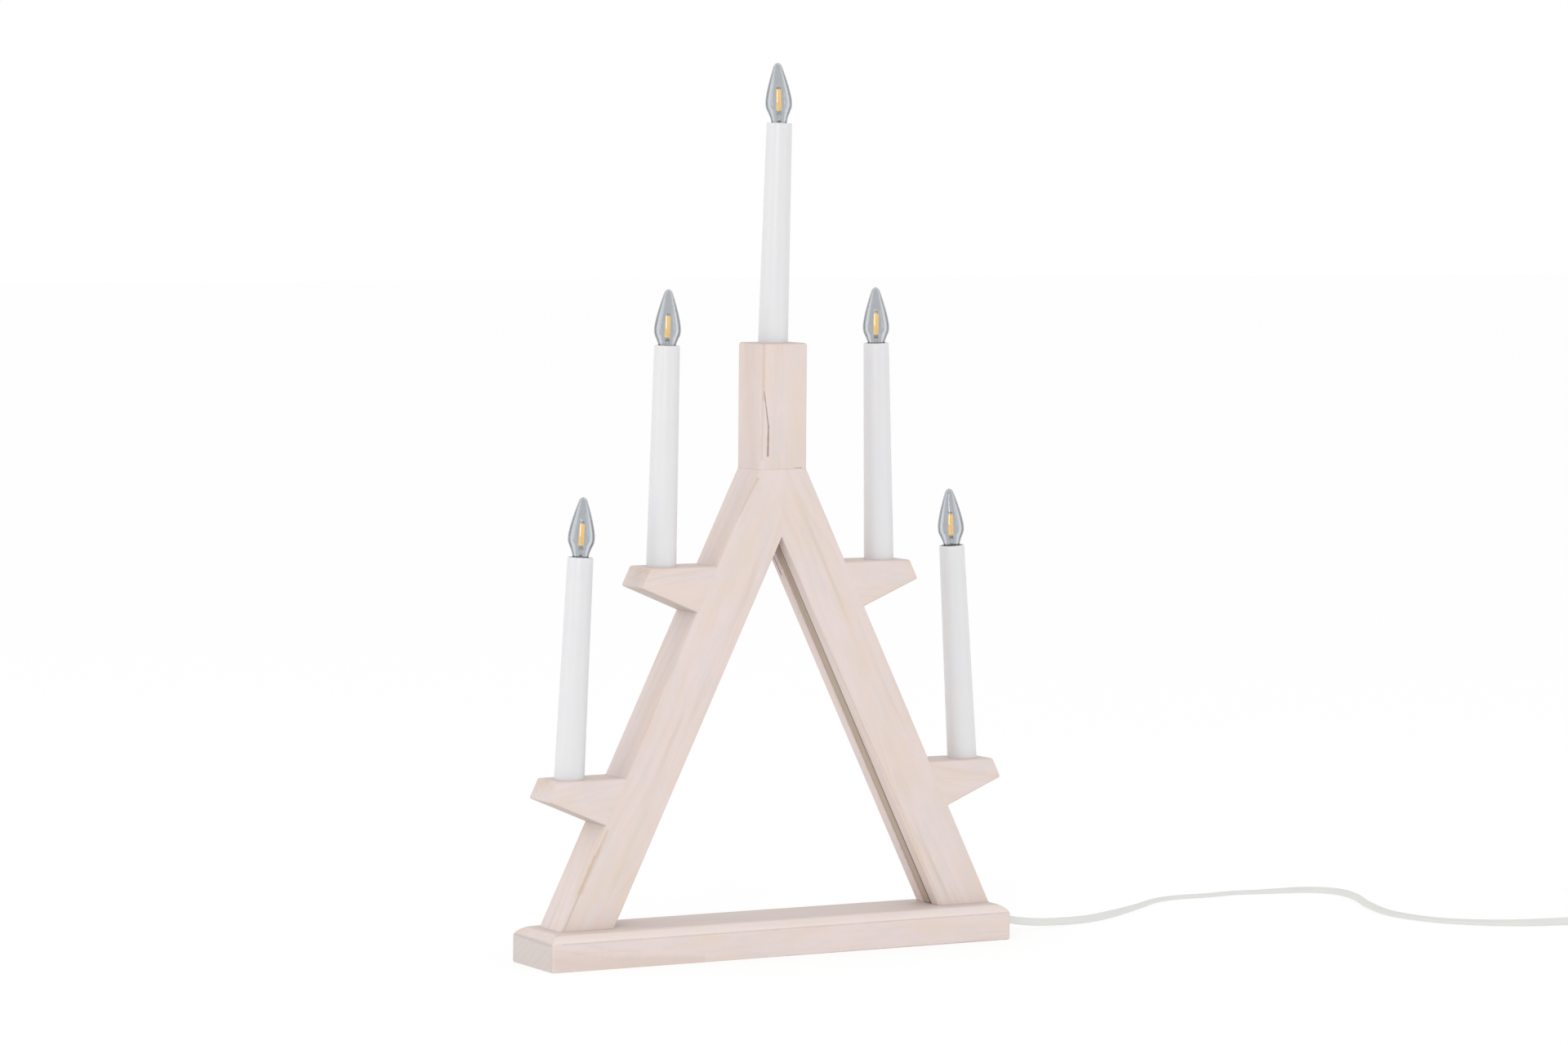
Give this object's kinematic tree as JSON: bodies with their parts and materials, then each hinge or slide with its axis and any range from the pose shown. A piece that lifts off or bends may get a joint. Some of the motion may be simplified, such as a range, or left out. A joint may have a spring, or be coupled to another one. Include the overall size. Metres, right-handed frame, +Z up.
{
  "type": "advent candlestick",
  "caption": "Electric advent candlestick: white-washed wooden A-frame on a base board, wedge shelves with candle sleeves and flame-shaped screw-in lamps, and a flat mains lead with plug.",
  "frame": {"origin": "centre of the base board's underside, on the surface it stands on", "axes": "+X along the base board towards the end where the lead comes out, +Y to the back, +Z up"},
  "size_m": [0.8286, 0.2245, 0.5595],
  "materials": {
    "pine": "matte white wash, grain showing",
    "raw_strip": "raw, matte",
    "beech": "raw, matte",
    "zinc_steel": "zinc plated",
    "sleeve_plastic": "satin",
    "holder_plastic": "satin",
    "cap_metal": "nickel plated",
    "clear_glass": "clear",
    "filament": "satin amber",
    "wire_insulation": "satin",
    "lead_plastic": "satin",
    "pin_metal": "nickel plated, satin"
  },
  "bodies": {
    "stand": {"base_board": "pine", "base_channel_cover": "raw_strip", "strain_relief": "lead_plastic", "left_leg": "pine", "left_groove_strip": "raw_strip", "left_neck_dowel": "beech", "right_leg": "pine", "right_groove_strip": "raw_strip", "right_neck_dowel": "beech", "neck_post": "pine", "left_front_leg_screw": "zinc_steel", "left_back_leg_screw": "zinc_steel", "right_front_leg_screw": "zinc_steel", "right_back_leg_screw": "zinc_steel", "centre_riser_wire": "wire_insulation", "centre_sleeve": "sleeve_plastic", "centre_spigot": "beech", "centre_lamp_holder": "holder_plastic", "upper_left_shelf": "pine", "upper_left_riser_wire": "wire_insulation", "upper_left_sleeve": "sleeve_plastic", "upper_left_spigot": "beech", "upper_left_lamp_holder": "holder_plastic", "upper_right_shelf": "pine", "upper_right_riser_wire": "wire_insulation", "upper_right_sleeve": "sleeve_plastic", "upper_right_spigot": "beech", "upper_right_lamp_holder": "holder_plastic", "lower_left_shelf": "pine", "lower_left_riser_wire": "wire_insulation", "lower_left_sleeve": "sleeve_plastic", "lower_left_spigot": "beech", "lower_left_lamp_holder": "holder_plastic", "lower_right_shelf": "pine", "lower_right_riser_wire": "wire_insulation", "lower_right_sleeve": "sleeve_plastic", "lower_right_spigot": "beech", "lower_right_lamp_holder": "holder_plastic", "leg_wiring": "wire_insulation", "base_wiring": "wire_insulation", "mains_lead": "lead_plastic", "lead_coil": "lead_plastic", "plug_body": "lead_plastic", "plug_left_pin": "pin_metal", "plug_right_pin": "pin_metal"},
    "centre_cap": {"centre_lamp_cap": "cap_metal"},
    "centre_bulb": {"centre_lamp_glass": "clear_glass", "centre_lamp_filament": "filament"},
    "upper_left_cap": {"upper_left_lamp_cap": "cap_metal"},
    "upper_left_bulb": {"upper_left_lamp_glass": "clear_glass", "upper_left_lamp_filament": "filament"},
    "upper_right_cap": {"upper_right_lamp_cap": "cap_metal"},
    "upper_right_bulb": {"upper_right_lamp_glass": "clear_glass", "upper_right_lamp_filament": "filament"},
    "lower_left_cap": {"lower_left_lamp_cap": "cap_metal"},
    "lower_left_bulb": {"lower_left_lamp_glass": "clear_glass", "lower_left_lamp_filament": "filament"},
    "lower_right_cap": {"lower_right_lamp_cap": "cap_metal"},
    "lower_right_bulb": {"lower_right_lamp_glass": "clear_glass", "lower_right_lamp_filament": "filament"}
  },
  "joints": [
    {"name": "centre_lamp_rise", "type": "slide", "parent": "stand", "child": "centre_cap", "axis": [-0.0419, 0, 0.9991], "range_m": [0, 0.00543]},
    {"name": "centre_lamp_turn", "type": "hinge", "parent": "centre_cap", "child": "centre_bulb", "pos_m": [0.00524, 0, 0.52099], "axis": [-0.0419, 0, 0.9991], "range_deg": [0, 1080]},
    {"name": "upper_left_lamp_rise", "type": "slide", "parent": "stand", "child": "upper_left_cap", "axis": [0.0227, 0, 0.9997], "range_m": [0, 0.00543]},
    {"name": "upper_left_lamp_turn", "type": "hinge", "parent": "upper_left_cap", "child": "upper_left_bulb", "pos_m": [-0.0734, 0, 0.37977], "axis": [0.0227, 0, 0.9997], "range_deg": [0, 1080]},
    {"name": "upper_right_lamp_rise", "type": "slide", "parent": "stand", "child": "upper_right_cap", "axis": [-0.0244, 0, 0.9997], "range_m": [0, 0.00543]},
    {"name": "upper_right_lamp_turn", "type": "hinge", "parent": "upper_right_cap", "child": "upper_right_bulb", "pos_m": [0.07696, 0, 0.38016], "axis": [-0.0244, 0, 0.9997], "range_deg": [0, 1080]},
    {"name": "lower_left_lamp_rise", "type": "slide", "parent": "stand", "child": "lower_left_cap", "axis": [0.0506, 0, 0.9987], "range_m": [0, 0.00543]},
    {"name": "lower_left_lamp_turn", "type": "hinge", "parent": "lower_left_cap", "child": "lower_left_bulb", "pos_m": [-0.13295, 0, 0.25193], "axis": [0.0506, 0, 0.9987], "range_deg": [0, 1080]},
    {"name": "lower_right_lamp_rise", "type": "slide", "parent": "stand", "child": "lower_right_cap", "axis": [-0.068, 0, 0.9977], "range_m": [0, 0.00543]},
    {"name": "lower_right_lamp_turn", "type": "hinge", "parent": "lower_right_cap", "child": "lower_right_bulb", "pos_m": [0.13443, 0, 0.25109], "axis": [-0.068, 0, 0.9977], "range_deg": [0, 1080]}
  ],
  "couplings": [
    {"joint": "centre_lamp_turn", "follows": "centre_lamp_rise", "rad_per_m": 3471.4},
    {"joint": "upper_left_lamp_turn", "follows": "upper_left_lamp_rise", "rad_per_m": 3471.4},
    {"joint": "upper_right_lamp_turn", "follows": "upper_right_lamp_rise", "rad_per_m": 3471.4},
    {"joint": "lower_left_lamp_turn", "follows": "lower_left_lamp_rise", "rad_per_m": 3471.4},
    {"joint": "lower_right_lamp_turn", "follows": "lower_right_lamp_rise", "rad_per_m": 3471.4}
  ]
}
